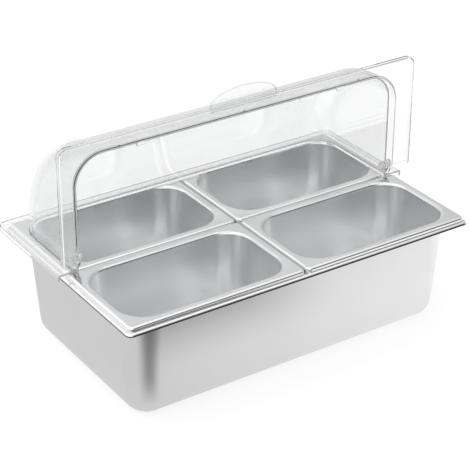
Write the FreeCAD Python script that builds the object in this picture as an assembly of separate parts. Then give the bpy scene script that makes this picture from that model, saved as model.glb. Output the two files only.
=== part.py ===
import FreeCAD, Part

import math
import os

from FreeCAD import Vector

# A countertop cold server: a deep pan with four food pans hung in it and a roll-top cover.
# All sizes are millimetres. X runs along the long side, the front faces -Y and Z is up.
# The origin is the middle of the base pan's underside, and the lid is rolled open at rest.

# Base pan, a full size deep drawn pan
pan_length = 530.0
pan_width = 325.0
base_depth = 150.0
base_sheet = 1.0
base_rim_corner = 8.0
base_edge_radius = 3.8
base_rim_drop = 6.4
base_rim_flat = 9.0
base_flare_radius = 5.0
base_well_corner = 45.0
base_wall_lean = 11.0
base_floor_radius = 25.0

# Food pans, quarter size, hung by their rims
food_sheet = 0.8
food_depth = 100.0
food_gap = 2.5
food_edge_margin = 0.5
food_side_clearance = 2.0
food_rim_corner = 7.0
food_edge_radius = 3.8
food_rim_drop = 6.3
food_flare_radius = 4.0
food_wall_lean = 8.0
food_floor_radius = 15.0

# Divider bar under the inner short rims
bar_thickness = 1.5
bar_web_clearance = 0.4
bar_web_recess = 0.8
bar_side_clearance = 4.0
bar_end_clearance = 2.0

# Ice packs on the floor of the base pan
pack_headroom = 11.3
pack_gap = 14.0
pack_clearance = 2.0
pack_corner = 22.0
pack_edge_radius = 6.0
plug_radius = 14.0
plug_height = 6.0
plug_clearance = 0.15
plug_inset = 34.0
plug_slot_length = 18.0
plug_slot_width = 3.0
plug_slot_depth = 2.0

# Roll-top cover, shared by the hood and the lid
cover_wall = 2.5
cover_lip_gap = 2.5
cover_end_gap = 6.5
cover_lip_drop = 6.5
cover_plan_corner = 12.0
cover_edge_radius = 3.0
lid_end_setback = 14.5
lid_front_setback = 13.5
lid_corner_radius = 43.0
lid_hood_gap = 1.5

# Rear hood
hood_front_lap = 4.7
hood_ear_radius = 8.0

# Roll lid
lid_flange_start = 6.5
lid_seat_gap = 0.3
lid_rest_gap = 0.3
lid_ear_margin = 1.9
lug_spacing = 308.0
lug_width = 12.0
lug_reach = 4.0
lug_height = 3.0
gusset_spacing = 185.0
gusset_width = 1.5
gusset_reach = 4.0

# Handle on the lid's front edge
handle_width = 104.0
handle_reach = 19.5
handle_root = 9.0
handle_thickness = 3.0
handle_edge_radius = 1.0

# Lid stops, studs that meet the hood's front edge when the lid is open
stop_radius = 4.0
stop_shank_radius = 2.5
stop_fit = 0.05
stop_overreach = 0.8
stop_ear_gap = 2.0
stop_pan_gap = 1.7
stop_dimple_radius = 1.6
stop_dimple_depth = 2.0

# Pivot pins with their spacers and clips
pin_radius = 3.0
pin_fit = 0.05
pin_head_radius = 6.0
pin_head = 2.5
pin_head_edge = 1.0
pin_tail = 1.5
side_play = 0.1
spacer_margin = 1.0
clip_thickness = 2.0
clip_margin = 1.5
clip_fit = 0.02

# Room by which a cutting solid passes the face that it opens, and a quarter turn in degrees
past = 1.0
quarter_turn = 90.0

# Heights and setbacks that follow from the sizes above
base_wall_inset = base_rim_flat + base_flare_radius
food_setback = base_edge_radius + food_edge_margin
food_length = (pan_length - 2 * food_setback - food_gap) / 2
food_width = (pan_width - 2 * food_setback - food_gap) / 2
food_wall_inset = base_wall_inset + food_side_clearance - food_setback
food_rim_flat = food_wall_inset + food_sheet - food_flare_radius
food_well_corner = base_rim_flat + base_well_corner - food_setback - food_rim_flat
food_rim_top = base_depth + food_rim_drop
pack_height = food_rim_top - food_depth - pack_headroom - base_sheet
cover_seat = food_rim_top
cover_length = pan_length + 2 * (cover_end_gap + cover_wall)
cover_width = pan_width + 2 * (cover_lip_gap + cover_wall)
stop_drop = hood_front_lap + lid_rest_gap + stop_radius
stop_arm = hood_ear_radius + stop_ear_gap
pivot_rise = stop_drop + stop_radius + stop_pan_gap
pivot_z = cover_seat + pivot_rise
lid_half_length = pan_length / 2 - lid_end_setback
lid_reach = pan_width / 2 - lid_front_setback
lid_drop = pivot_rise - lid_seat_gap
lid_lap = pivot_rise - cover_wall - lid_rest_gap
lid_ear_radius = lid_lap - lid_ear_margin
hood_inset = cover_wall + lid_hood_gap
hood_half_length = lid_half_length - hood_inset
hood_reach = lid_reach - hood_inset
hood_corner_radius = lid_corner_radius - hood_inset

pivot = Vector(0, 0, pivot_z)
along_x = Vector(1, 0, 0)
along_y = Vector(0, 1, 0)
along_z = Vector(0, 0, 1)


def section(start, *steps):
    """Closed face in the XZ plane. A step is an end point, or an arc's middle and end points."""
    edges = []
    here = start
    for step in steps + (start,):
        if isinstance(step[0], tuple):
            middle, end = step
            points = [Vector(x, 0, z) for x, z in (here, middle, end)]
            edges.append(Part.Arc(*points).toShape())
        else:
            end = step
            edges.append(Part.makeLine(Vector(here[0], 0, here[1]), Vector(end[0], 0, end[1])))
        here = end
    return Part.Face(Part.Wire(edges))


def tub(length, width, corner, profile):
    """Solid with the profile as its section: straight along four sides, turned at four corners.
    The profile's x runs outwards from a corner's axis."""
    half_x = length / 2 - corner
    half_y = width / 2 - corner
    bounds = profile.BoundBox
    pieces = [Part.makeBox(2 * half_x, 2 * half_y, bounds.ZLength, Vector(-half_x, -half_y, bounds.ZMin))]
    quarter = profile.revolve(Vector(), along_z, quarter_turn)
    corners = [Vector(half_x, half_y, 0), Vector(-half_x, half_y, 0),
               Vector(-half_x, -half_y, 0), Vector(half_x, -half_y, 0)]
    for count, place in enumerate(corners):
        for shape in (quarter.copy(), profile.copy()):
            shape.rotate(Vector(), along_z, count * quarter_turn)
            shape.translate(place)
            pieces.append(shape)
        pieces[-1] = pieces[-1].extrude(corners[count - 1] - place)
    return pieces[0].multiFuse(pieces[1:]).removeSplitter()


def arc_middle(centre, radius, first, second):
    """Middle point of an arc between two directions from its centre."""
    x = first[0] + second[0]
    z = first[1] + second[1]
    size = math.hypot(x, z)
    return centre[0] + radius * x / size, centre[1] + radius * z / size


def plate_section(corner, edge_radius, bottom, top):
    """Half section of a block with a rounded upper edge, or a sharp one if the radius runs out."""
    if edge_radius <= 0:
        return section((0, bottom), (corner, bottom), (corner, top), (0, top))
    centre = (corner - edge_radius, top - edge_radius)
    middle = arc_middle(centre, edge_radius, (1, 0), (0, 1))
    return section((0, bottom), (corner, bottom), (corner, centre[1]), (middle, (centre[0], top)), (0, top))


def folded_plate(length, width, corner, edge_radius, sheet, drop, top):
    """Flat plate whose outer edge is folded down, as far as drop below its top face."""
    bottom = top - drop
    block = tub(length, width, corner, plate_section(corner, edge_radius, bottom, top))
    inner_corner = corner - sheet
    hollow = tub(length - 2 * sheet, width - 2 * sheet, inner_corner,
                 plate_section(inner_corner, edge_radius - sheet, bottom - past, top - sheet))
    return block.cut(hollow)


def well_section(corner, flare, lean, floor_radius, floor, rim_top, top, skin):
    """Half section of a drawn well: floor, rounded foot, leaning wall and a flare to the rim.
    The skin is the sheet's thickness for the outer face and nothing for the inner face."""
    floor = floor - skin
    foot = corner - flare - lean + skin
    head = corner - flare + skin
    radius = floor_radius + skin
    run = head - foot
    rise = rim_top - flare - floor
    across = run / math.hypot(run, rise)
    up = rise / math.hypot(run, rise)
    foot_centre = (foot - radius * (1 - across) / up, floor + radius)
    foot_end = (foot_centre[0] + radius * up, foot_centre[1] - radius * across)
    foot_middle = arc_middle(foot_centre, radius, (0, -1), (up, -across))
    flare_centre = (corner, rim_top - flare)
    flare_radius = flare - skin
    flare_middle = arc_middle(flare_centre, flare_radius, (-1, 0), (0, 1))
    return section((0, floor), (foot_centre[0], floor), (foot_middle, foot_end), (head, flare_centre[1]),
                   (flare_middle, (corner, rim_top - skin)), (corner, top), (0, top))


def drawn_pan(length, width, depth, sheet, rim, well):
    """Pan pressed from one sheet, standing on z = 0, with a flat rim and a folded edge."""
    rim_corner, edge_radius, drop, flat = rim
    corner, flare, lean, floor_radius = well
    rim_plate = folded_plate(length, width, rim_corner, edge_radius, sheet, drop, depth)
    mouth_length = length - 2 * flat
    mouth_width = width - 2 * flat
    outer = tub(mouth_length, mouth_width, corner,
                well_section(corner, flare, lean, floor_radius, sheet, depth, depth, sheet))
    inner = tub(mouth_length, mouth_width, corner,
                well_section(corner, flare, lean, floor_radius, sheet, depth, depth + past, 0.0))
    return rim_plate.fuse(outer).cut(inner).removeSplitter()


def base_pan():
    rim = (base_rim_corner, base_edge_radius, base_rim_drop, base_rim_flat)
    well = (base_well_corner, base_flare_radius, base_wall_lean, base_floor_radius)
    return drawn_pan(pan_length, pan_width, base_depth, base_sheet, rim, well)


def food_pan():
    """One food pan in the middle, with its rim's folded edge on the base pan's rim."""
    rim = (food_rim_corner, food_edge_radius, food_rim_drop, food_rim_flat)
    well = (food_well_corner, food_flare_radius, food_wall_lean, food_floor_radius)
    pan = drawn_pan(food_length, food_width, food_depth, food_sheet, rim, well)
    pan.translate(Vector(0, 0, food_rim_top - food_depth))
    return pan


def divider_bar():
    """T bar: the flange carries the inner rims, the web fills their gap and lies on the base rim."""
    flange_width = food_gap + 2 * (food_wall_inset - bar_side_clearance)
    flange_length = pan_width - 2 * (base_wall_inset + bar_end_clearance)
    flange = Part.makeBox(flange_width, flange_length, bar_thickness,
                          Vector(-flange_width / 2, -flange_length / 2, base_depth - bar_thickness))
    web_width = food_gap - 2 * bar_web_clearance
    web_length = pan_width - 2 * food_setback
    web = Part.makeBox(web_width, web_length, food_rim_drop - bar_web_recess,
                       Vector(-web_width / 2, -web_length / 2, base_depth))
    return flange.fuse(web).removeSplitter()


def pack_size():
    """Length and width of one ice pack, from the flat of the base pan's floor."""
    floor_inset = base_wall_inset + base_wall_lean + base_floor_radius + pack_clearance
    return pan_length / 2 - floor_inset - pack_gap / 2, pan_width - 2 * floor_inset


def plug_place():
    """Centre of the right pack's filler plug, near its outer front corner, at the plug's seat."""
    length, width = pack_size()
    x = pack_gap / 2 + length - plug_inset
    y = plug_inset - width / 2
    return Vector(x, y, base_sheet + pack_height - plug_height)


def ice_pack():
    """Right ice pack: a rounded block with a round recess for its plug."""
    length, width = pack_size()
    low = base_sheet
    high = base_sheet + pack_height
    lower_centre = (pack_corner - pack_edge_radius, low + pack_edge_radius)
    upper_centre = (pack_corner - pack_edge_radius, high - pack_edge_radius)
    lower_middle = arc_middle(lower_centre, pack_edge_radius, (0, -1), (1, 0))
    upper_middle = arc_middle(upper_centre, pack_edge_radius, (1, 0), (0, 1))
    outline = section((0, low), (lower_centre[0], low), (lower_middle, (pack_corner, lower_centre[1])),
                      (pack_corner, upper_centre[1]), (upper_middle, (upper_centre[0], high)), (0, high))
    block = tub(length, width, pack_corner, outline)
    block.translate(Vector((pack_gap + length) / 2, 0, 0))
    recess = Part.makeCylinder(plug_radius + plug_clearance, plug_height + past, plug_place())
    return block.cut(recess)


def ice_pack_plug():
    """Plug of the right ice pack, flush with its top, with a coin slot."""
    place = plug_place()
    disc = Part.makeCylinder(plug_radius, plug_height, place)
    slot = Part.makeBox(plug_slot_length, plug_slot_width, plug_slot_depth + past)
    corner = Vector(-plug_slot_length / 2, -plug_slot_width / 2, plug_height - plug_slot_depth)
    slot.translate(place + corner)
    return disc.cut(slot)


def quarter_dome(half_length, reach, corner, lap, drop):
    """Solid inside one half of the cover, in the hood's place: an arch with rounded upper corners,
    turned a quarter back about the pivot axis, carried forward by lap and lowered by drop."""
    shoulder = reach - corner
    bend = corner * math.sqrt(0.5)
    left = half_length - corner
    arch = section((-half_length, 0), (-half_length, shoulder),
                   ((-left - bend, shoulder + bend), (-left, reach)), (left, reach),
                   ((left + bend, shoulder + bend), (half_length, shoulder)), (half_length, 0))
    arch.translate(pivot)
    turned = arch.revolve(pivot, -along_x, quarter_turn)
    lapped = arch.extrude(-along_y * lap)
    lying = arch.copy()
    lying.rotate(pivot, along_x, -quarter_turn)
    lowered = lying.extrude(-along_z * drop)
    heel = Part.makeBox(2 * half_length, lap, drop, Vector(-half_length, -lap, pivot_z - drop))
    return turned.multiFuse([lapped, lowered, heel]).removeSplitter()


def both_ends(shape):
    """The shape at the right end with its mirror image at the left end."""
    return [shape, shape.mirror(Vector(), along_x)]


def cover_flange(seat, near, far):
    """Part of the cover's flange between two Y values, with its edge folded down outside the rims."""
    plate = folded_plate(cover_length, cover_width, cover_plan_corner, cover_edge_radius, cover_wall,
                         cover_wall + cover_lip_drop, seat + cover_wall)
    box = plate.BoundBox
    keep = Part.makeBox(box.XLength, far - near, box.ZLength, Vector(box.XMin, near, box.ZMin))
    return plate.common(keep)


def pivot_hole(half_length):
    """Hole for the pin through the right end wall whose outer face is at half_length."""
    return Part.makeCylinder(pin_radius + pin_fit, cover_wall + 2 * past,
                             Vector(half_length - cover_wall - past, 0, pivot_z), along_x)


def end_ear(half_length, radius):
    """Round ear on the pivot axis, as thick as the right end wall."""
    return Part.makeCylinder(radius, cover_wall, Vector(half_length - cover_wall, 0, pivot_z), along_x)


def rear_hood():
    outer = quarter_dome(hood_half_length, hood_reach, hood_corner_radius, hood_front_lap, pivot_rise)
    inner = quarter_dome(hood_half_length - cover_wall, hood_reach - cover_wall,
                         hood_corner_radius - cover_wall, hood_front_lap + past, pivot_rise + past)
    flange = cover_flange(cover_seat, -hood_front_lap, cover_width / 2)
    ears = both_ends(end_ear(hood_half_length, hood_ear_radius))
    holes = both_ends(pivot_hole(hood_half_length))
    return outer.multiFuse([flange]).cut(inner).multiFuse(ears).cut(holes).removeSplitter()


def roll_open(shape):
    """Turn a piece of the closed lid to its open place, standing up over the hood."""
    shape.rotate(pivot, along_x, -quarter_turn)
    return shape


def stop_place(x):
    """Centre line of the right lid stop at one X, with the lid closed."""
    return Vector(x, -stop_arm, pivot_z - stop_drop)


def lid_lugs():
    """Two locating lugs inside the closed lid's front wall, just above its flange."""
    lugs = []
    for side in (-1, 1):
        near_end = side * lug_spacing / 2 - lug_width / 2
        corner = Vector(near_end, -lid_reach + cover_wall / 2, pivot_z - lid_drop)
        lugs.append(Part.makeBox(lug_width, cover_wall / 2 + lug_reach, lug_height, corner))
    return lugs


def lid_gussets():
    """Three small triangular gussets between the closed lid's front wall and its flange."""
    flange_top = pivot_z - lid_drop + cover_wall
    outer_face = -lid_reach
    buried = cover_wall / 2
    points = [Vector(0, outer_face + buried, flange_top - buried),
              Vector(0, outer_face - gusset_reach, flange_top - buried),
              Vector(0, outer_face - gusset_reach, flange_top),
              Vector(0, outer_face, flange_top + gusset_reach),
              Vector(0, outer_face + buried, flange_top + gusset_reach)]
    triangle = Part.Face(Part.makePolygon(points + points[:1]))
    gussets = []
    for step in (-1, 0, 1):
        gusset = triangle.extrude(along_x * gusset_width)
        gusset.translate(Vector(step * gusset_spacing - gusset_width / 2, 0, 0))
        gussets.append(gusset)
    return gussets


def roll_lid():
    outer = quarter_dome(lid_half_length, lid_reach, lid_corner_radius, lid_lap, lid_drop)
    inner = quarter_dome(lid_half_length - cover_wall, lid_reach - cover_wall,
                         lid_corner_radius - cover_wall, lid_lap + past, lid_drop + past)
    outer = outer.mirror(Vector(), along_y)
    inner = inner.mirror(Vector(), along_y)
    flange = cover_flange(cover_seat + lid_seat_gap, -cover_width / 2, -lid_flange_start)
    heel = Part.makeBox(2 * lid_half_length + 2 * past, lid_flange_start + lid_lap + past, lid_drop + past,
                        Vector(-lid_half_length - past, -lid_flange_start, pivot_z - lid_drop - past))
    ears = both_ends(end_ear(lid_half_length, lid_ear_radius))
    stop_hole = Part.makeCylinder(stop_shank_radius + stop_fit, cover_wall + 2 * past,
                                  stop_place(lid_half_length - cover_wall - past), along_x)
    holes = both_ends(pivot_hole(lid_half_length)) + both_ends(stop_hole)
    shell = outer.fuse(flange).cut(inner).cut(heel)
    lid = shell.multiFuse(ears + lid_lugs() + lid_gussets()).cut(holes).removeSplitter()
    return roll_open(lid)


def lid_handle():
    """Half-moon grip bonded on top of the lid's flange at the middle of its front edge."""
    half = handle_width / 2
    moon = Part.ArcOfEllipse(Part.Ellipse(Vector(), half, handle_reach), math.pi, 2 * math.pi).toShape()
    ends = ((half, 0), (half, handle_root), (-half, handle_root), (-half, 0))
    corners = [Vector(x, y, 0) for x, y in ends]
    outline = Part.Wire([moon] + [Part.makeLine(a, b) for a, b in zip(corners, corners[1:])])
    grip = Part.Face(outline).extrude(along_z * handle_thickness)
    rims = [edge for edge in grip.Edges if edge.BoundBox.ZLength < handle_thickness / 2]
    grip = grip.makeFillet(handle_edge_radius, rims)
    grip.translate(Vector(0, -cover_width / 2, pivot_z - lid_drop + cover_wall))
    return roll_open(grip)


def lid_stop():
    """Right lid stop: a stud through the lid's end wall, flush outside, with its round head inside."""
    inner_face = lid_half_length - cover_wall
    head_end = hood_half_length - cover_wall - stop_overreach
    head = Part.makeCylinder(stop_radius, inner_face - head_end, stop_place(head_end), along_x)
    shank = Part.makeCylinder(stop_shank_radius, cover_wall, stop_place(inner_face), along_x)
    dimple = Part.makeCylinder(stop_dimple_radius, stop_dimple_depth + past,
                               stop_place(head_end - past), along_x)
    return roll_open(head.fuse(shank).cut(dimple).removeSplitter())


def pin_ring(outer_radius, bore_radius, low, high):
    """Ring on the pivot axis between two X values."""
    start = Vector(low, 0, pivot_z)
    ring = Part.makeCylinder(outer_radius, high - low, start, along_x)
    return ring.cut(Part.makeCylinder(bore_radius, high - low, start, along_x))


def pivot_pin():
    """Right pivot pin: a headed pin that goes in from outside through the lid and the hood."""
    head_face = lid_half_length + side_play
    tail_end = hood_half_length - cover_wall - side_play - clip_thickness - pin_tail
    shank = Part.makeCylinder(pin_radius, head_face - tail_end, Vector(tail_end, 0, pivot_z), along_x)
    head = Part.makeCylinder(pin_head_radius, pin_head, Vector(head_face, 0, pivot_z), along_x)
    crown = [edge for edge in head.Edges if edge.BoundBox.XMin > head_face + pin_head / 2]
    head = head.makeFillet(pin_head_edge, crown)
    return shank.fuse(head).removeSplitter()


def pivot_spacer():
    """Right spacer, between the hood's and the lid's end walls."""
    return pin_ring(hood_ear_radius - spacer_margin, pin_radius + pin_fit,
                    hood_half_length + side_play, lid_half_length - cover_wall - side_play)


def pivot_clip():
    """Right clip, pushed onto the pin's tail inside the hood."""
    high = hood_half_length - cover_wall - side_play
    return pin_ring(hood_ear_radius - clip_margin, pin_radius + clip_fit, high - clip_thickness, high)


def save(name, shape):
    """Write one named piece, after a check that it is a sound single solid."""
    if not shape.isValid() or len(shape.Solids) != 1:
        raise ValueError(name + " is not one sound solid")
    shape.exportStep(os.path.join("parts", name + ".step"))
    print(name, round(shape.Volume), "cubic millimetres")


os.makedirs("parts", exist_ok=True)

save("base_pan", base_pan())
pan = food_pan()
food_x = (food_length + food_gap) / 2
food_y = (food_width + food_gap) / 2
for row, y in (("front", -food_y), ("rear", food_y)):
    for side, x in (("left", -food_x), ("right", food_x)):
        placed = pan.copy()
        placed.translate(Vector(x, y, 0))
        save("food_pan_" + row + "_" + side, placed)
save("divider_bar", divider_bar())
save("rear_hood", rear_hood())
save("roll_lid", roll_lid())
save("lid_handle", lid_handle())

end_pieces = {
    "ice_pack": ice_pack(),
    "ice_pack_plug": ice_pack_plug(),
    "lid_stop": lid_stop(),
    "pivot_pin": pivot_pin(),
    "pivot_spacer": pivot_spacer(),
    "pivot_clip": pivot_clip(),
}
for name, shape in end_pieces.items():
    for side, piece in zip(("right", "left"), both_ends(shape)):
        save(name + "_" + side, piece)
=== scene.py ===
import math

import bmesh
import bpy
import numpy as np
from mathutils import Euler, Matrix, Vector


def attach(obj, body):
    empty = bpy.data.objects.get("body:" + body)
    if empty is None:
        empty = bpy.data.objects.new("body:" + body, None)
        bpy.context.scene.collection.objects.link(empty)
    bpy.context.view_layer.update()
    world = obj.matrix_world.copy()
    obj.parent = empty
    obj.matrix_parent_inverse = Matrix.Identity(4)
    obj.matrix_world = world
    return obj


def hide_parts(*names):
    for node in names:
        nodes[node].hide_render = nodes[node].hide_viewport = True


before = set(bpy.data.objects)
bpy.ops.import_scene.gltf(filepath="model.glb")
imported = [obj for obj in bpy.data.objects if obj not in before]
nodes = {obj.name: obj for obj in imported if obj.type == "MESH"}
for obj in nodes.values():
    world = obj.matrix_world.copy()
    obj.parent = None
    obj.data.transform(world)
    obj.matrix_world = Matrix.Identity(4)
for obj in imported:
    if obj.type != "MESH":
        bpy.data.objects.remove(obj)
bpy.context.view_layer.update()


# Base pan: one deep pan drawn from a single stainless sheet, with a flat rim and a rolled edge.
# It stands on its own floor and carries the food pans on its rim, and the cover stands on those.

def bend(inset, height, radius, first, last, steps):
    """Stations on an arc about an inset and a height; angles run from outwards to up, in degrees."""
    turn = np.radians(np.linspace(first, last, steps))
    return np.stack([inset - radius * np.cos(turn), height + radius * np.sin(turn)], axis=1)


def on_axis(stations, axis):
    """Stations with the inset of their plan corners' axis as a third column."""
    stations = np.atleast_2d(np.asarray(stations, float))
    return np.column_stack([stations, np.full(len(stations), axis)])


def drawn_wall(floor, depth, flat, flare, lean, foot, skin):
    """One face of a drawn wall: a rounded foot, a leaning wall and a flare to the rim, moved out by skin."""
    foot_steps = 12
    flare_steps = 9
    base = floor - skin
    radius = foot + skin
    slope = math.atan2(lean, depth - flare - base)
    foot_inset = flat + flare + lean - skin + radius * (1 - math.sin(slope)) / math.cos(slope)
    lower = bend(foot_inset, base + radius, radius, first=-90, last=-math.degrees(slope), steps=foot_steps)
    upper = bend(flat, depth - flare, flare - skin, first=180, last=90, steps=flare_steps)
    return np.concatenate([lower, upper])


def pan_stations(half_width, depth, sheet, rim, well):
    """Section of a drawn pan as one closed line: inside from the middle of the floor up to the rim,
    round its rolled edge, and back along the underside to the middle of the outer floor."""
    outer_steps = 16
    lip_steps = 7
    inner_steps = 6
    corner, edge, drop, flat = rim
    well_corner, flare, lean, foot = well
    axis = flat + well_corner
    half_sheet = sheet / 2
    inside = drawn_wall(sheet, depth, flat, flare, lean, foot, 0.0)
    outside = drawn_wall(sheet, depth, flat, flare, lean, foot, sheet)[::-1]
    outer = bend(edge, depth - edge, edge, first=90, last=0, steps=outer_steps)
    lip = bend(half_sheet, depth - drop + half_sheet, half_sheet, first=0, last=-180, steps=lip_steps)
    inner = bend(edge, depth - edge, edge - sheet, first=0, last=90, steps=inner_steps)
    roll = np.concatenate([outer, lip, inner])
    return np.concatenate([on_axis([half_width, sheet], half_width), on_axis(inside, axis),
                           on_axis(roll, corner), on_axis(outside, axis),
                           on_axis([half_width, 0.0], half_width)])


def ring_grid(half_length, half_width, stations, steps):
    """Carries stations round a rounded rectangle. Each point is a corner's axis plus its distance from
    that axis, turned by an even share of a quarter; the sides are the gaps between the corners."""
    corners_x = [1, -1, -1, 1]
    corners_y = [1, 1, -1, -1]
    quarter = math.pi / 2
    inset, height, axis = stations.T[:, :, None]
    turn = (np.arange(len(corners_x))[:, None] * quarter + np.linspace(0, quarter, steps)).ravel()
    x = np.repeat(corners_x, steps) * (half_length - axis) + (axis - inset) * np.cos(turn)
    y = np.repeat(corners_y, steps) * (half_width - axis) + (axis - inset) * np.sin(turn)
    return np.stack([x, y, np.broadcast_to(height, x.shape)], axis=2)


def grid_faces(rows, columns):
    """Corner numbers of the quads of a grid whose last column joins its first."""
    number = np.arange(rows * columns).reshape(rows, columns)
    number = np.concatenate([number, number[:, :1]], axis=1)
    corners = [number[:-1, :-1], number[1:, :-1], number[1:, 1:], number[:-1, 1:]]
    return np.stack(corners, axis=2).reshape(-1, len(corners))


def painted_light_marks(stations, corner, depth, columns, shadow_top=0.0):
    """Marks of a pan's points for painted light: -1 on the round of its rolled edge, painted as a highlight,
    1 on it below the shadow's top, painted as a shadow line, else 0.
    """
    roll_start = 0.05
    height, axis = stations.T[1:]
    marks = np.where(height < shadow_top, 1.0, -1.0)
    marks[(axis != corner) | (height > depth - roll_start)] = 0.0
    return np.repeat(marks, columns)


millimetres_in_metre = 1000.0


def solid(name, points, faces, materials, marks=None, kinds=None):
    """Object in metres from points in millimetres, with doubles merged and faces turned outwards.
    Marks are one number per point, kept as the attribute edge, and kinds are each face's place in
    materials."""
    same_place = 1e-6
    no_length = 1e-7
    mesh = bpy.data.meshes.new(name)
    for material in materials:
        mesh.materials.append(material)
    places = np.asarray(points) / millimetres_in_metre
    mesh.from_pydata(places.tolist(), [], [list(face) for face in faces])
    if marks is not None:
        mesh.attributes.new("edge", "FLOAT", "POINT").data.foreach_set("value", marks)
    if kinds is not None:
        mesh.polygons.foreach_set("material_index", kinds)
    work = bmesh.new()
    work.from_mesh(mesh)
    bmesh.ops.remove_doubles(work, verts=work.verts, dist=same_place)
    bmesh.ops.dissolve_degenerate(work, edges=work.edges, dist=no_length)
    bmesh.ops.recalc_face_normals(work, faces=work.faces)
    work.to_mesh(mesh)
    work.free()
    piece = bpy.data.objects.new(name, mesh)
    bpy.context.scene.collection.objects.link(piece)
    return piece


def smooth(piece):
    """Smooth shading that breaks at sharp edges and follows the larger faces."""
    sharp = math.radians(35.0)
    piece.data.shade_smooth()
    piece.data.set_sharp_from_angle(angle=sharp)
    evened = piece.modifiers.new("evened", "WEIGHTED_NORMAL")
    evened.keep_sharp = True


def wire(tree, kind, sockets, **settings):
    """New shader node. Sockets are values or other nodes' outputs, by name or number, and settings are
    its own properties."""
    node = tree.nodes.new("ShaderNode" + kind)
    for name, value in settings.items():
        setattr(node, name, value)
    for name, value in sockets.items():
        if isinstance(value, bpy.types.NodeSocket):
            tree.links.new(value, node.inputs[name])
        else:
            node.inputs[name].default_value = value
    return node


def reckon(tree, way, *terms, clamp=False):
    """Result of a step of arithmetic on one to three numbers or outputs, held from 0 to 1 with clamp."""
    return wire(tree, "Math", dict(enumerate(terms)), operation=way, use_clamp=clamp).outputs["Value"]


def ramp(tree, value, span, levels, easing="LINEAR"):
    """Result that goes from one level to another while a value crosses a span."""
    sockets = {"Value": value, "From Min": span[0], "From Max": span[1], "To Min": levels[0],
               "To Max": levels[1]}
    return wire(tree, "MapRange", sockets, interpolation_type=easing).outputs["Result"]


def blend(tree, share, first, second):
    """Mix of two colours. The node's colour sockets come after those for numbers and vectors."""
    share_in = 0
    first_in = 6
    second_in = 7
    colour_out = 2
    sockets = {share_in: share, first_in: first, second_in: second}
    return wire(tree, "Mix", sockets, data_type="RGBA").outputs[colour_out]


def new_material(name):
    """Material with a node tree, and the tree's main shader."""
    material = bpy.data.materials.new(name)
    material.use_nodes = True
    return material, material.node_tree, material.node_tree.nodes["Principled BSDF"]


def satin_steel(name, tone, matt, rim_from, rim_shine):
    """Stainless steel with fine lines along X, cloudy handling marks and a rim that use has polished.
    The attribute edge is -1 on a rolled edge, lightened there as a painted highlight, and 1 where it turns
    under, darkened there as a painted shadow line."""
    handled = 0.05
    dull = tuple((1 - handled) * part for part in tone) + (1.0,)
    bright = tuple((1 + handled) * part for part in tone) + (1.0,)
    # Painted highlight: rolled edges get a lighter steel colour that stands in for the bright reflections
    # they catch.
    painted_highlight_roll = (0.98, 0.98, 0.98, 1.0)
    # Painted shadow: a near-black colour on the lowest band of the base pan's rolled edge, standing in for
    # the shade under its rim.
    painted_shadow_line = (0.03, 0.03, 0.03, 1.0)
    rim_fade = 0.003
    line_roughness = 0.10
    material, tree, steel = new_material(name)
    steel.inputs["Metallic"].default_value = 1.0
    place = wire(tree, "TexCoord", {}).outputs["Object"]
    drawn = wire(tree, "Mapping", {"Vector": place, "Scale": (14.0, 900.0, 900.0)}).outputs["Vector"]
    lines = wire(tree, "TexNoise", {"Vector": drawn, "Scale": 1.0, "Detail": 3.0}).outputs["Fac"]
    clouds = wire(tree, "TexNoise", {"Vector": place, "Scale": 9.0, "Detail": 4.0}).outputs["Fac"]
    edge = wire(tree, "Attribute", {}, attribute_name="edge").outputs["Fac"]
    # Share of painted highlight: 1 on rolled edges, where the attribute edge is -1.
    rolled = reckon(tree, "MULTIPLY", edge, -1.0, clamp=True)
    shade = blend(tree, clouds, dull, bright)
    # Painted highlight on the rolled edges.
    shade = blend(tree, rolled, shade, painted_highlight_roll)
    # Painted shadow line where the base pan's rolled edge turns under.
    shade = blend(tree, edge, shade, painted_shadow_line)
    tree.links.new(shade, steel.inputs["Base Color"])
    height = wire(tree, "SeparateXYZ", {"Vector": place}).outputs["Z"]
    rim = ramp(tree, height, span=(rim_from, rim_from + rim_fade), levels=(matt, rim_shine))
    tree.links.new(reckon(tree, "MULTIPLY_ADD", lines, line_roughness, rim), steel.inputs["Roughness"])
    relief = wire(tree, "Bump", {"Height": lines, "Strength": 0.03, "Distance": 0.001})
    tree.links.new(relief.outputs["Normal"], steel.inputs["Normal"])
    return material


base_half_length = 265.0
base_half_width = 162.5
base_depth = 150.0
base_sheet = 1.0
base_rim_corner = 8.0
base_edge_radius = 3.8
base_rim_drop = 4.2
base_rim_flat = 9.0
base_well_corner = 45.0
base_flare_radius = 5.0
base_wall_lean = 11.0
base_floor_radius = 25.0
base_corner_steps = 20
# Height of the painted shadow line at the bottom of the base pan's rolled edge.
painted_shadow_height = 1.9
base_steel = satin_steel("base_steel", tone=(0.80, 0.80, 0.80), matt=0.17, rim_from=0.1425, rim_shine=0.08)
base_rim = (base_rim_corner, base_edge_radius, base_rim_drop, base_rim_flat)
base_well = (base_well_corner, base_flare_radius, base_wall_lean, base_floor_radius)
base_stations = pan_stations(base_half_width, base_depth, base_sheet, base_rim, base_well)
base_grid = ring_grid(base_half_length, base_half_width, base_stations, base_corner_steps)
base_faces = grid_faces(base_grid.shape[0], base_grid.shape[1])
# Marks for the painted highlight and the painted shadow line on the base pan's rolled edge.
base_marks = painted_light_marks(base_stations, base_rim_corner, base_depth, base_grid.shape[1],
                        shadow_top=base_depth - base_rim_drop + painted_shadow_height)
base_pan = solid("base_pan_drawn", base_grid.reshape(-1, 3), base_faces, [base_steel], marks=base_marks)
smooth(base_pan)
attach(base_pan, "base")
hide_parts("base_pan")


# Ice packs: flat blow-moulded bottles of cold gel that stand on the base pan's floor, end to end.
# A moulded plug with a coin slot closes each one.

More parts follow.
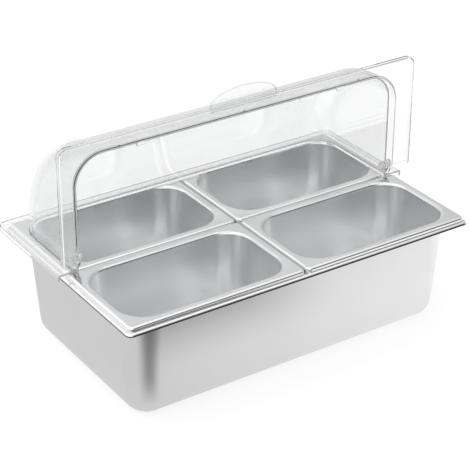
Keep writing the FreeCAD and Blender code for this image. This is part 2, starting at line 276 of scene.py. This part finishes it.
def moulded_plastic(name, pale, deep, polish, pebble):
    """Moulded plastic: two close tones in soft patches, a pebbled skin and a gloss that varies with it."""
    gloss_range = 0.18
    material, tree, plastic = new_material(name)
    place = wire(tree, "TexCoord", {}).outputs["Object"]
    patches = wire(tree, "TexNoise", {"Vector": place, "Scale": 22.0, "Detail": 3.0}).outputs["Fac"]
    tree.links.new(blend(tree, patches, pale + (1.0,), deep + (1.0,)), plastic.inputs["Base Color"])
    skin = wire(tree, "TexNoise", {"Vector": place, "Scale": pebble, "Detail": 2.0}).outputs["Fac"]
    gloss = ramp(tree, skin, span=(0.0, 1.0), levels=(polish, polish + gloss_range))
    tree.links.new(gloss, plastic.inputs["Roughness"])
    relief = wire(tree, "Bump", {"Height": skin, "Strength": 0.15, "Distance": 0.0005})
    tree.links.new(relief.outputs["Normal"], plastic.inputs["Normal"])
    return material


def put_on(names, material):
    """Gives solids of the frame a material."""
    for name in names:
        nodes[name].data.materials.clear()
        nodes[name].data.materials.append(material)


def prism(outline, low, high):
    """Points and faces of a bar along X: a closed outline of Y and Z at two X values, with closed ends."""
    count = len(outline)
    ends = [np.column_stack([np.full(count, x), outline]) for x in (low, high)]
    faces = grid_faces(len(ends), count).tolist()
    return np.concatenate(ends), faces + [list(range(count)), list(range(count, 2 * count))]


def disc(radius, y=0.0, z=0.0):
    """Round outline in Y and Z: even steps, with no point on the axes."""
    sides = 40
    turn = (np.arange(sides) + 0.5) * 2 * math.pi / sides
    return np.column_stack([y + radius * np.cos(turn), z + radius * np.sin(turn)])


def tool_solid(name, bars):
    """One object of several bars, to fuse to a piece or cut from it."""
    points = []
    faces = []
    for bar_points, bar_faces in bars:
        faces += [[len(points) + corner for corner in face] for face in bar_faces]
        points += bar_points.tolist()
    return solid(name, points, faces, [])


def fuse_and_cut(piece, steps):
    """Fuses solids to a piece or cuts them from it, in turn, and leaves only the result."""
    same_place = 2e-6
    for way, tool in steps:
        step = piece.modifiers.new(way, "BOOLEAN")
        step.operation = way
        step.solver = "EXACT"
        step.object = tool
    bpy.context.view_layer.update()
    worked = piece.evaluated_get(bpy.context.evaluated_depsgraph_get())
    made = bpy.data.meshes.new_from_object(worked)
    piece.modifiers.clear()
    piece.data = made
    work = bmesh.new()
    work.from_mesh(made)
    bmesh.ops.remove_doubles(work, verts=work.verts, dist=same_place)
    bmesh.ops.dissolve_degenerate(work, edges=work.edges, dist=same_place)
    work.to_mesh(made)
    work.free()
    for way, tool in steps:
        bpy.data.objects.remove(tool)


pack_half_length = 103.0
pack_half_width = 110.5
pack_centre = 110.0
pack_low = 1.0
pack_high = 45.0
pack_corner = 22.0
pack_edge = 6.0
pack_edge_steps = 9
pack_corner_steps = 14
seam = 0.6
seam_height = (pack_low + pack_high) / 2
seam_steps = 7
border_inset = 10.0
border_width = 6.0
border_depth = 1.5
border_steps = 9
across_border = np.linspace(0, 1, border_steps)
pack_section = np.concatenate([
    bend(seam + pack_edge, pack_low + pack_edge, pack_edge, first=-90, last=0, steps=pack_edge_steps),
    bend(seam, seam_height, seam, first=-90, last=90, steps=seam_steps),
    bend(seam + pack_edge, pack_high - pack_edge, pack_edge, first=0, last=90, steps=pack_edge_steps),
    np.column_stack([border_inset + border_width * across_border,
                     pack_high - border_depth * np.sin(math.pi * across_border) ** 2])])
pack_stations = np.concatenate([on_axis([pack_half_length, pack_low], pack_half_length),
                                on_axis(pack_section, pack_corner),
                                on_axis([pack_half_length, pack_high], pack_half_length)])
pack_grid = ring_grid(pack_half_length, pack_half_width, pack_stations, pack_corner_steps)
pack_grid = pack_grid + np.array([pack_centre, 0.0, 0.0])
pack_faces = grid_faces(pack_grid.shape[0], pack_grid.shape[1])
groove_radius = 8.0
groove_depth = 1.6
groove_end = 26.0
groove_pitch = 26.0
groove_first = -38.0
groove_count = 5
groove_height = pack_high + groove_radius - groove_depth
pack_hollows = [prism(disc(groove_radius, groove_first + number * groove_pitch, groove_height),
                      pack_centre - pack_half_length + groove_end,
                      pack_centre + pack_half_length - groove_end)
                for number in range(groove_count)]
cut_past = 1.0
plug_recess = 14.15
plug_height = 6.0
plug_inset = 34.0
plug_outline = disc(plug_recess, plug_inset - pack_half_width, pack_centre + pack_half_length - plug_inset)
well_points, well_faces = prism(plug_outline, pack_high - plug_height, pack_high + cut_past)
pack_hollows.append((well_points[:, [2, 1, 0]], well_faces))
pack_plastic = moulded_plastic("pack_plastic", pale=(0.74, 0.83, 0.88), deep=(0.64, 0.77, 0.85), polish=0.40,
                               pebble=700.0)
for side, side_x in (("left", -1), ("right", 1)):
    mirror = np.array([side_x, 1.0, 1.0])
    pack = solid("ice_pack_blown_" + side, (pack_grid * mirror).reshape(-1, 3), pack_faces, [pack_plastic])
    hollows = tool_solid("hollows", [(points * mirror, faces) for points, faces in pack_hollows])
    fuse_and_cut(pack, [("DIFFERENCE", hollows)])
    smooth(pack)
    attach(pack, "pack_" + side)
    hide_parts("ice_pack_" + side)
plug_plastic = moulded_plastic("plug_plastic", pale=(0.16, 0.32, 0.52), deep=(0.12, 0.26, 0.45), polish=0.36,
                               pebble=900.0)
put_on(("ice_pack_plug_left", "ice_pack_plug_right"), plug_plastic)


# Divider bar: a stainless bar of T section that carries the pans' inner short rims.
# Its web stands in the gap between them, and its ends lie on the base pan's rim.

bar_steel = satin_steel("bar_steel", tone=(0.76, 0.76, 0.77), matt=0.18, rim_from=0.1495, rim_shine=0.10)
put_on(("divider_bar",), bar_steel)


# Food pans: quarter size pans drawn from thinner sheet, four alike, hung side by side.
# Their rolled edges stand on the base pan's rim and on the divider bar.

food_half_length = 129.725
food_half_width = 78.475
food_rim_top = 156.3
food_depth = 100.0
food_gap = 2.5
food_sheet = 0.8
food_rim_corner = 7.0
food_edge_radius = 3.8
food_rim_drop = 6.3
food_rim_flat = 8.5
food_well_corner = 41.2
food_flare_radius = 4.0
food_wall_lean = 8.0
food_floor_radius = 15.0
food_corner_steps = 18
food_steel = satin_steel("food_pan_steel", tone=(0.86, 0.865, 0.87), matt=0.20, rim_from=0.1495,
                         rim_shine=0.10)
food_rim = (food_rim_corner, food_edge_radius, food_rim_drop, food_rim_flat)
food_well = (food_well_corner, food_flare_radius, food_wall_lean, food_floor_radius)
food_stations = pan_stations(food_half_width, food_depth, food_sheet, food_rim, food_well)
food_grid = ring_grid(food_half_length, food_half_width, food_stations, food_corner_steps)
food_faces = grid_faces(food_grid.shape[0], food_grid.shape[1])
# Marks for the painted highlight on the food pans' rolled edges.
food_marks = painted_light_marks(food_stations, food_rim_corner, food_depth, food_grid.shape[1])
for row, side_y in (("front", -1), ("rear", 1)):
    for side, side_x in (("left", -1), ("right", 1)):
        place = np.array([side_x * (food_half_length + food_gap / 2),
                          side_y * (food_half_width + food_gap / 2), food_rim_top - food_depth])
        where = row + "_" + side
        food_points = (food_grid + place).reshape(-1, 3)
        food_pan = solid("food_pan_drawn_" + where, food_points, food_faces, [food_steel], marks=food_marks)
        smooth(food_pan)
        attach(food_pan, "pan_" + where)
        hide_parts("food_pan_" + where)


# Rear hood: the fixed half of the cover, moulded in clear polycarbonate, with a flange and lip along its ends
# and rear. It stands on the pans' rims and carries the pivots in its end walls.

def row_set(sizes, turn, shift_y, shift_z, heel_y, heel_z):
    """Rows of a cover shell. Each is an arch's half length, reach and corner, its turn about the pivot axis,
    its shift, and the heel at which its end walls start."""
    half, reach, corner = sizes
    return np.column_stack(np.broadcast_arrays(half, reach, corner, turn, shift_y, shift_z, heel_y, heel_z))


def dome_rows(sizes, lap, bottom, heels):
    """Rows over one face of the dome: carried forward by lap, turned a quarter, and lowered to bottom.
    The heel stays at its first place, then slides to the second while turning and to the third while
    lowering."""
    lap_steps = 4
    turn_steps = 37
    drop_steps = 5
    upright = math.pi / 2
    slide = np.linspace(0, 1, turn_steps)
    lowered = np.linspace(0, 1, drop_steps)[1:]
    first, second, third = heels
    return np.concatenate([
        row_set(sizes, upright, np.linspace(-lap, 0, lap_steps)[:-1], 0, first[0], first[1]),
        row_set(sizes, upright * (1 - slide), 0, 0, first[0] + slide * (second[0] - first[0]),
                first[1] + slide * (second[1] - first[1])),
        row_set(sizes, 0, 0, bottom * lowered, second[0] + lowered * (third[0] - second[0]),
                second[1] + lowered * (third[1] - second[1]))])


def grown(sizes, by):
    """Arch sizes moved outwards by a distance."""
    return tuple(size + by for size in sizes)


def cover_rows(sizes, wall, lap, seat, heels, flange):
    """Rows of a whole cover shell as a closed loop: the outer face, a fillet to the flange, its rounded edge
    and lip, the underside, the inner face, and the full round of the lapped edge."""
    bend_steps = 6
    nose_steps = 9
    edge_sizes, edge_radius, lip_drop, fillet, easing = flange
    quarter = np.radians(np.linspace(0, 90, bend_steps))
    sine = np.sin(quarter)
    cosine = np.cos(quarter)
    end = heels[2][0]
    top = seat + wall
    lip_low = seat - lip_drop

    def flat(sizes, height):
        """Level rows at a height."""
        return row_set(sizes, 0, 0, height, end, height)

    foot = flat(grown(sizes, fillet * (1 - cosine[1:])), top + fillet * (1 - sine[1:]))
    edge = flat(grown(edge_sizes, edge_radius * (sine - 1)), top + edge_radius * (cosine - 1))
    lip_out = flat(grown(edge_sizes, easing * (cosine - 1)), lip_low + easing * (1 - sine))
    lip_in = flat(grown(edge_sizes, easing * (1 - sine) - wall), lip_low + easing * (1 - cosine))
    root = flat(grown(edge_sizes, -wall - easing * (1 - cosine)), seat - easing * (1 - sine))
    band = flat(sizes, seat)
    mouth = flat(grown(sizes, easing * (1 - sine) - wall), seat + easing * (1 - cosine))
    across = np.radians(np.linspace(180, 0, nose_steps))[1:-1]
    nose = row_set(grown(sizes, wall / 2 * (np.cos(across) - 1)), math.pi / 2,
                   -lap - wall / 2 * np.sin(across), 0, heels[0][0] - wall / 2 * np.sin(across), heels[0][1])
    outer = dome_rows(sizes, lap, top + fillet, heels)
    inner = dome_rows(grown(sizes, -wall), lap, top + fillet, heels)[::-1]
    rim = np.concatenate([foot, edge, lip_out, lip_in, root, band, mouth])
    shape = (len(outer), len(rim), len(outer) + len(rim) - len(mouth) - 1)
    return np.concatenate([outer, rim, inner, nose]), shape


def shell_points(rows):
    """Points of a cover shell, arch by arch. On an arch, each end wall is a straight line from the heel to
    the shoulder, then come a round corner, the top, and the same again; the arch is then turned and
    shifted."""
    corner_steps = 19
    top_steps = 15
    wall_steps = 8
    half, reach, corner, turn, shift_y, shift_z, heel_y, heel_z = rows.T[:, :, None]
    bow = np.radians(np.linspace(180, 90, corner_steps))
    top = np.linspace(-1, 1, top_steps)[1:-1]
    along = corner * np.cos(bow) + corner - half
    out = corner * np.sin(bow) + reach - corner
    along = np.concatenate([along, top * (half - corner), -along[:, ::-1]], axis=1)
    out = np.concatenate([out, np.repeat(reach, len(top), axis=1), out[:, ::-1]], axis=1)
    y = out * np.cos(turn) + shift_y
    z = out * np.sin(turn) + shift_z
    rise = np.linspace(0, 1, wall_steps)[:-1]
    wall_x = np.repeat(-half, len(rise), axis=1)
    wall_y = heel_y + rise * (y[:, :1] - heel_y)
    wall_z = heel_z + rise * (z[:, :1] - heel_z)
    x = np.concatenate([wall_x, along, -wall_x], axis=1)
    y = np.concatenate([wall_y, y, wall_y[:, ::-1]], axis=1)
    z = np.concatenate([wall_z, z, wall_z[:, ::-1]], axis=1)
    return np.stack([x, y, z], axis=2).transpose(1, 0, 2)


def shell_faces(points, shape):
    """Faces of a cover shell and their kinds, 1 for cut edges: the quads of its grid, strips that close the
    wall between the two faces at both ends, and one face each over the ends of the flange and of the
    lapped edge."""
    dome, rim, band = shape
    lines, rows = points.shape[:2]
    inner_end = 2 * dome + rim - 1
    faces = grid_faces(lines, rows).tolist()
    kinds = np.zeros((lines - 1, rows), int)
    kinds[:, band] = 1
    kinds[:, inner_end:] = 1
    kinds = kinds.ravel().tolist()
    for start in (0, (lines - 1) * rows):
        outer = start + np.arange(dome)
        inner = start + inner_end - np.arange(dome)
        faces += np.stack([outer[:-1], outer[1:], inner[1:], inner[:-1]], axis=1).tolist()
        faces.append((start + np.arange(dome - 1, dome + rim + 1)).tolist())
        faces.append((start + np.append(np.arange(inner_end, rows), 0)).tolist())
    return faces, kinds + [1] * (len(faces) - len(kinds))


def both_sides(outline, low, high):
    """Two bars for the cover's two ends: one between two X values and one in its mirror place."""
    return [prism(outline, low, high), prism(outline, -high, -low)]


def clear_plastic(name, tint, clarity, haze):
    """Clear moulded plastic: bends and tints light, scatters a share of it where it isn't clear, has a faint
    uneven haze, and lets lamps through to what it covers."""
    material, tree, clear = new_material(name)
    clear.inputs["Base Color"].default_value = tint + (1.0,)
    clear.inputs["Transmission Weight"].default_value = clarity
    clear.inputs["IOR"].default_value = 1.5
    place = wire(tree, "TexCoord", {}).outputs["Object"]
    clouds = wire(tree, "TexNoise", {"Vector": place, "Scale": 14.0, "Detail": 3.0}).outputs["Fac"]
    tree.links.new(ramp(tree, clouds, span=(0.0, 1.0), levels=haze), clear.inputs["Roughness"])
    path = wire(tree, "LightPath", {}).outputs
    open_way = wire(tree, "BsdfTransparent", {}).outputs["BSDF"]
    through = wire(tree, "MixShader", {"Fac": path["Is Shadow Ray"], 1: clear.outputs["BSDF"], 2: open_way})
    tree.links.new(through.outputs["Shader"], tree.nodes["Material Output"].inputs["Surface"])
    return material


pivot_height = 171.0
cover_wall = 2.5
hole_radius = 3.05
flange_half_length = 274.0
flange_reach = 167.5
flange_corner = 12.0
flange_edge = 3.0
flange_lip_drop = 6.5
flange_fillet = 1.0
flange_easing = 0.7
flange_sizes = (flange_half_length, flange_reach, flange_corner)
flange = (flange_sizes, flange_edge, flange_lip_drop, flange_fillet, flange_easing)
hood_half_length = 246.5
hood_reach = 145.0
hood_corner = 39.0
hood_front_lap = 4.7
hood_lap = hood_front_lap - cover_wall / 2
hood_seat = -14.55
hood_heel = (-hood_lap, hood_seat + cover_wall + flange_fillet)
hood_ear = 8.0


def on_hood(points):
    """Points about the pivot axis, put at its height."""
    return points + np.array([0.0, 0.0, pivot_height])


clear_tint = (0.958, 0.960, 0.960)
clear_haze = (0.0, 0.02)
edge_tint = (0.93, 0.94, 0.94)
edge_haze = (0.28, 0.40)
hood_clear = clear_plastic("hood_clear", clear_tint, clarity=1.0, haze=clear_haze)
hood_edge = clear_plastic("hood_edge", edge_tint, clarity=0.45, haze=edge_haze)
hood_sizes = (hood_half_length, hood_reach, hood_corner)
hood_heels = (hood_heel, hood_heel, hood_heel)
hood_rows, hood_shape = cover_rows(hood_sizes, cover_wall, hood_lap, hood_seat, hood_heels, flange)
hood_points = shell_points(hood_rows)
hood_faces, hood_kinds = shell_faces(hood_points, hood_shape)
hood = solid("rear_hood_moulded", on_hood(hood_points.reshape(-1, 3)), hood_faces, [hood_clear, hood_edge],
             kinds=hood_kinds)
hood_ears = both_sides(disc(hood_ear, 0.0, pivot_height), hood_half_length - cover_wall, hood_half_length)
hood_drill_end = hood_half_length + cut_past
hood_hole = prism(disc(hole_radius, 0.0, pivot_height), -hood_drill_end, hood_drill_end)
fuse_and_cut(hood, [("UNION", tool_solid("ears", hood_ears)),
                    ("DIFFERENCE", tool_solid("hole", [hood_hole]))])
smooth(hood)
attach(hood, "hood")
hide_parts("rear_hood")


# Pivot pins, spacers and clips: headed pins of pale clear plastic go through the lid and the hood at both
# ends. Milky nylon washers keep the walls apart, and nylon rings push onto the pins' tails.

pin_haze = (0.10, 0.22)
pin_plastic = clear_plastic("pin_plastic", edge_tint, clarity=0.80, haze=pin_haze)
put_on(("pivot_pin_left", "pivot_pin_right"), pin_plastic)
nylon = clear_plastic("nylon", tint=(0.90, 0.90, 0.88), clarity=0.55, haze=(0.25, 0.40))
put_on(("pivot_spacer_left", "pivot_spacer_right", "pivot_clip_left", "pivot_clip_right"), nylon)


# Roll lid: the front half of the cover, moulded as the hood is, and rolled back over it on the two pivots.
# Its flange stands up at the front when it is open; two lugs and three gussets are moulded on.

lid_half_length = 250.5
lid_reach = 149.0
lid_corner = 43.0
lid_front_lap = 11.9
lid_lap = lid_front_lap - cover_wall / 2
lid_seat = -14.4
lid_top = lid_seat + cover_wall
lid_ear = 10.0
lid_flange_start = 6.5
lid_heels = ((-lid_lap, 0.0), (lid_flange_start, 0.0), (lid_flange_start, lid_top + flange_fillet))


def on_lid(points):
    """Points about the pivot axis, laid out as the hood's, swung to the open lid: Y and Z change places."""
    return points[:, [0, 2, 1]] + np.array([0.0, 0.0, pivot_height])


stop_hole = 2.55
stop_arm = 10.0
stop_drop = 9.0
lug_spacing = 308.0
lug_width = 12.0
lug_reach = 4.0
lug_height = 3.0
gusset_spacing = 185.0
gusset_width = 1.5
gusset_reach = 4.0
buried = cover_wall / 2
moulded_root = lid_reach - buried
lug_end = lid_reach - cover_wall - lug_reach
lug_top = lid_seat + lug_height
lug_outline = np.array([(lug_end, lid_seat), (moulded_root, lid_seat), (moulded_root, lug_top),
                        (lug_end, lug_top)])
gusset_end = lid_reach + gusset_reach
gusset_low = lid_top - buried
gusset_top = lid_top + gusset_reach
gusset_outline = np.array([(moulded_root, gusset_low), (gusset_end, gusset_low), (gusset_end, lid_top),
                           (lid_reach, gusset_top), (moulded_root, gusset_top)])
lid_bars = both_sides(disc(lid_ear), lid_half_length - cover_wall, lid_half_length)
lid_bars += both_sides(lug_outline, (lug_spacing - lug_width) / 2, (lug_spacing + lug_width) / 2)
lid_bars += both_sides(gusset_outline, gusset_spacing - gusset_width / 2, gusset_spacing + gusset_width / 2)
lid_bars.append(prism(gusset_outline, -gusset_width / 2, gusset_width / 2))
lid_drill_start = lid_half_length - cover_wall - cut_past
lid_drill_end = lid_half_length + cut_past
lid_drills = [prism(disc(hole_radius), -lid_drill_end, lid_drill_end)]
lid_drills += both_sides(disc(stop_hole, stop_arm, -stop_drop), lid_drill_start, lid_drill_end)
lid_sizes = (lid_half_length, lid_reach, lid_corner)
lid_rows, lid_shape = cover_rows(lid_sizes, cover_wall, lid_lap, lid_seat, lid_heels, flange)
lid_points = shell_points(lid_rows)
lid_faces, lid_kinds = shell_faces(lid_points, lid_shape)
lid_clear = clear_plastic("lid_clear", clear_tint, clarity=1.0, haze=clear_haze)
lid_edge = clear_plastic("lid_edge", edge_tint, clarity=0.30, haze=edge_haze)
lid = solid("roll_lid_moulded", on_lid(lid_points.reshape(-1, 3)), lid_faces, [lid_clear, lid_edge],
            kinds=lid_kinds)
lid_bars = [(on_lid(points), faces) for points, faces in lid_bars]
lid_drills = [(on_lid(points), faces) for points, faces in lid_drills]
fuse_and_cut(lid, [("UNION", tool_solid("moulded_on", lid_bars)),
                   ("DIFFERENCE", tool_solid("drills", lid_drills))])
smooth(lid)
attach(lid, "lid")
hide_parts("roll_lid")


# Handle: a half-moon grip of the same clear plastic, bonded to the top of the lid's flange at its middle.
# All its edges are rounded for the fingers.

def moon_points(half_width, reach, root, thickness, rounding, base):
    """Rounded plate with a half-moon outline. Its outline is half an ellipse closed by a straight root; the
    rows run from the middle of the underside, out along it, round the edge and back over the top."""
    bow_steps = 65
    side_steps = 5
    back_steps = 25
    edge_steps = 13
    half_way = 0.5
    bow = np.linspace(0, math.pi, bow_steps)
    side = np.linspace(0, -root, side_steps)[1:]
    back = np.linspace(-half_width, half_width, back_steps)[1:-1]
    x = np.concatenate([half_width * np.cos(bow), np.full(len(side), -half_width), back,
                        np.full(len(side), half_width)])
    y = np.concatenate([reach * np.sin(bow), side, np.full(len(back), -root), side[::-1]])
    outline = np.column_stack([x, y])
    along = np.roll(outline, -1, axis=0) - np.roll(outline, 1, axis=0)
    along /= np.linalg.norm(along, axis=1, keepdims=True)
    inward = np.column_stack([-along[:, 1], along[:, 0]])
    turn = np.radians(np.linspace(-90, 90, edge_steps))
    inset = rounding * (1 - np.cos(turn))
    height = thickness / 2 + np.sin(turn) * rounding + np.sign(turn) * (thickness / 2 - rounding)
    ring = outline[None] + inset[:, None, None] * inward[None]
    middle = np.array([0.0, (reach - root) / 2])
    share = np.array([0.0, half_way])[:, None, None]
    under = middle + share * (ring[0] - middle)
    over = middle + share[::-1] * (ring[-1] - middle)
    plan = np.concatenate([under, ring, over])
    level = np.concatenate([np.zeros(len(under)), height, np.full(len(over), thickness)])
    level = np.repeat(level[:, None], len(outline), axis=1)
    return np.stack([plan[:, :, 0], plan[:, :, 1] + base[0], level + base[1]], axis=2)


bond = 0.1
flat_rows = 2
handle_points = moon_points(half_width=52.0, reach=19.5, root=9.0, thickness=3.0, rounding=1.4,
                            base=(flange_reach, lid_top + bond))
handle_faces = grid_faces(handle_points.shape[0], handle_points.shape[1])
handle_kinds = np.zeros((handle_points.shape[0] - 1, handle_points.shape[1]), int)
handle_kinds[flat_rows:-flat_rows] = 1
handle_clear = clear_plastic("handle_clear", tint=(0.90, 0.905, 0.905), clarity=1.0, haze=clear_haze)
handle_edge = clear_plastic("handle_edge", edge_tint, clarity=0.12, haze=edge_haze)
handle = solid("lid_handle_moulded", on_lid(handle_points.reshape(-1, 3)), handle_faces,
               [handle_clear, handle_edge], kinds=handle_kinds.ravel())
smooth(handle)
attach(handle, "lid")
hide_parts("lid_handle")


# Lid stops: studs of pale clear plastic pressed through the lid's end walls.
# Their round heads meet the hood's front edge when the lid is open.

stud_plastic = clear_plastic("stud_plastic", edge_tint, clarity=0.80, haze=pin_haze)
put_on(("lid_stop_left", "lid_stop_right"), stud_plastic)


# Floor: white paper under soft light. What the steel mirrors of it is a painted glow that only mirrored rays
# see:
# a pale band along the front that is darker to the left and further out, with a dim wedge off the base pan's
# front left corner. These painted reflections shade the steel's faces and put a dark band on that corner.
# Straight rays reach it from the camera or through clear plastic, and mirrored ones come off shiny faces.

half_floor = 6.0
ground = bpy.data.meshes.new("floor")
ground.from_pydata([(-half_floor, -half_floor, 0), (half_floor, -half_floor, 0), (half_floor, half_floor, 0),
                    (-half_floor, half_floor, 0)], [], [(0, 1, 2, 3)])
floor = bpy.data.objects.new("floor", ground)
bpy.context.scene.collection.objects.link(floor)
paper, tree, matt = new_material("floor_paper")
matt.inputs["Roughness"].default_value = 1.0
matt.inputs["Specular IOR Level"].default_value = 0.0
matt.inputs["Emission Color"].default_value = (1.0, 1.0, 1.0, 1.0)
paper_tone = 0.80
straight_loss = 0.50
mirrored_loss = 0.72
straight_glow = 0.76
path = wire(tree, "LightPath", {}).outputs
straight = reckon(tree, "MAXIMUM", path["Is Camera Ray"], path["Is Transmission Ray"])
mirrored = reckon(tree, "SUBTRACT", path["Is Glossy Ray"], path["Is Transmission Ray"], clamp=True)
tone = reckon(tree, "MULTIPLY_ADD", straight, -straight_loss, paper_tone)
tone = reckon(tree, "MULTIPLY_ADD", mirrored, -mirrored_loss, tone)
tree.links.new(tone, matt.inputs["Base Color"])
spot = wire(tree, "TexCoord", {}).outputs["Object"]
base_corner_axis = base_rim_flat + base_well_corner
wedge_start = (-(base_half_length - base_corner_axis) / millimetres_in_metre,
               -(base_half_width - base_corner_axis) / millimetres_in_metre, 0.0)
wedge_heading = (0.0, 0.0, math.radians(252.0))
degrees_in_turn = 360.0
wedge_core = 2.0 / degrees_in_turn
wedge_edge = 46.0 / degrees_in_turn
on_heading = 0.5
from_corner = wire(tree, "Mapping", {"Vector": spot, "Location": wedge_start, "Rotation": wedge_heading},
                   vector_type="TEXTURE").outputs["Vector"]
heading = wire(tree, "TexGradient", {"Vector": from_corner}, gradient_type="RADIAL").outputs["Fac"]
apart = reckon(tree, "ABSOLUTE", reckon(tree, "SUBTRACT", heading, on_heading))
# Painted shade: the glow dims in a wedge ahead of the base pan's front left corner, which that corner mirrors
# as a dark band.
wedge = ramp(tree, apart, span=(wedge_core, wedge_edge), levels=(0.62, 0.0), easing="SMOOTHSTEP")
away = wire(tree, "VectorMath", {0: from_corner}, operation="LENGTH").outputs["Value"]
beyond = ramp(tree, away, span=(0.045, 0.11), levels=(0.0, 1.0), easing="SMOOTHSTEP")
undimmed = reckon(tree, "SUBTRACT", 1.0, reckon(tree, "MULTIPLY", wedge, beyond))
spot_parts = wire(tree, "SeparateXYZ", {"Vector": spot}).outputs
across = ramp(tree, spot_parts["X"], span=(-0.30, 0.40), levels=(0.66, 1.0))
far_level = ramp(tree, spot_parts["X"], span=(0.02, 0.16), levels=(0.10, 0.85))
nearer = ramp(tree, spot_parts["Y"], span=(-0.38, -0.20), levels=(far_level, 1.0), easing="SMOOTHSTEP")
# Painted reflection: the glow that shiny faces mirror, paler to the right and nearer the base pan, dimmed in
# the wedge.
painted_reflection = reckon(tree, "MULTIPLY", reckon(tree, "MULTIPLY", across, nearer), undimmed)
glow = reckon(tree, "MULTIPLY_ADD", straight, straight_glow, reckon(tree, "MULTIPLY", painted_reflection, mirrored))
tree.links.new(glow, matt.inputs["Emission Strength"])
ground.materials.append(paper)


# Light: a pale room, brighter overhead and to the left, with a dark patch at the front right, a bright one at
# the rear left, and three soft lamps.

def facing(tree, direction, axis):
    """How nearly a direction points along an axis: their dot product."""
    return wire(tree, "VectorMath", {0: direction, 1: axis}, operation="DOT_PRODUCT").outputs["Value"]


room = bpy.data.worlds.new("room")
bpy.context.scene.world = room
room.use_nodes = True
tree = room.node_tree
direction = wire(tree, "TexCoord", {}).outputs["Generated"]
sideways = wire(tree, "SeparateXYZ", {"Vector": direction}).outputs["X"]
ahead = facing(tree, direction, axis=(0.45, -0.88, 0.15))
overhead = facing(tree, direction, axis=(-0.5, -0.2, 0.84))
behind = facing(tree, direction, axis=(-0.48, 0.73, 0.49))
front = ramp(tree, ahead, span=(0.78, 0.92), levels=(1.0, 0.16), easing="SMOOTHSTEP")
sky = ramp(tree, overhead, span=(-0.2, 1.0), levels=(0.80, 1.06))
right = ramp(tree, sideways, span=(0.50, 0.64), levels=(1.0, 0.72), easing="SMOOTHSTEP")
left = ramp(tree, sideways, span=(-0.50, -0.25), levels=(1.08, 1.0), easing="SMOOTHSTEP")
glint = ramp(tree, behind, span=(0.88, 0.97), levels=(1.0, 1.10), easing="SMOOTHSTEP")
level = front
for share in (sky, right, left, glint):
    level = reckon(tree, "MULTIPLY", level, share)
path = wire(tree, "LightPath", {}).outputs
level = reckon(tree, "MAXIMUM", level, path["Is Camera Ray"])
tree.nodes["Background"].inputs["Color"].default_value = (1.0, 1.0, 1.0, 1.0)
tree.links.new(level, tree.nodes["Background"].inputs["Strength"])


def softbox(name, place, aim, size, power):
    """Square soft lamp at a place, aimed at a point, that shows in no shiny face."""
    lamp = bpy.data.lights.new(name, "AREA")
    lamp.shape = "SQUARE"
    lamp.size = size
    lamp.energy = power
    holder = bpy.data.objects.new(name, lamp)
    holder.visible_glossy = False
    holder.location = place
    holder.rotation_euler = (Vector(aim) - Vector(place)).to_track_quat("-Z", "Y").to_euler()
    bpy.context.scene.collection.objects.link(holder)


softbox("top_lamp", place=(-0.2, 0.1, 2.4), aim=(0.0, 0.0, 0.1), size=2.0, power=8.0)
softbox("left_lamp", place=(-2.2, 0.9, 1.1), aim=(0.0, 0.0, 0.15), size=1.6, power=4.0)
softbox("right_lamp", place=(1.9, -1.6, 1.0), aim=(0.0, 0.0, 0.15), size=1.6, power=4.0)
bpy.context.scene.cycles.max_bounces = 48
bpy.context.scene.cycles.transmission_bounces = 48
bpy.context.scene.cycles.glossy_bounces = 12


# Camera: the photograph's place, from the front left and above.
# A long lens about two metres away keeps the far edges nearly as large as the near ones.

lens = bpy.data.cameras.new("camera")
lens.sensor_width = 36.0
lens.lens = 127.52
camera = bpy.data.objects.new("camera", lens)
bpy.context.scene.collection.objects.link(camera)
camera_place = (-1.0950, -1.6277, 1.2051)
camera_elevation = 28.633
camera_tilt = math.radians(90 - camera_elevation)
camera_heading = math.radians(-33.819)
camera_roll = math.radians(0.27)
turn = Euler((camera_tilt, 0.0, camera_heading)).to_matrix() @ Matrix.Rotation(camera_roll, 3, "Z")
camera.matrix_world = Matrix.Translation(camera_place) @ turn.to_4x4()
bpy.context.scene.camera = camera
bpy.context.scene.view_settings.view_transform = "Standard"
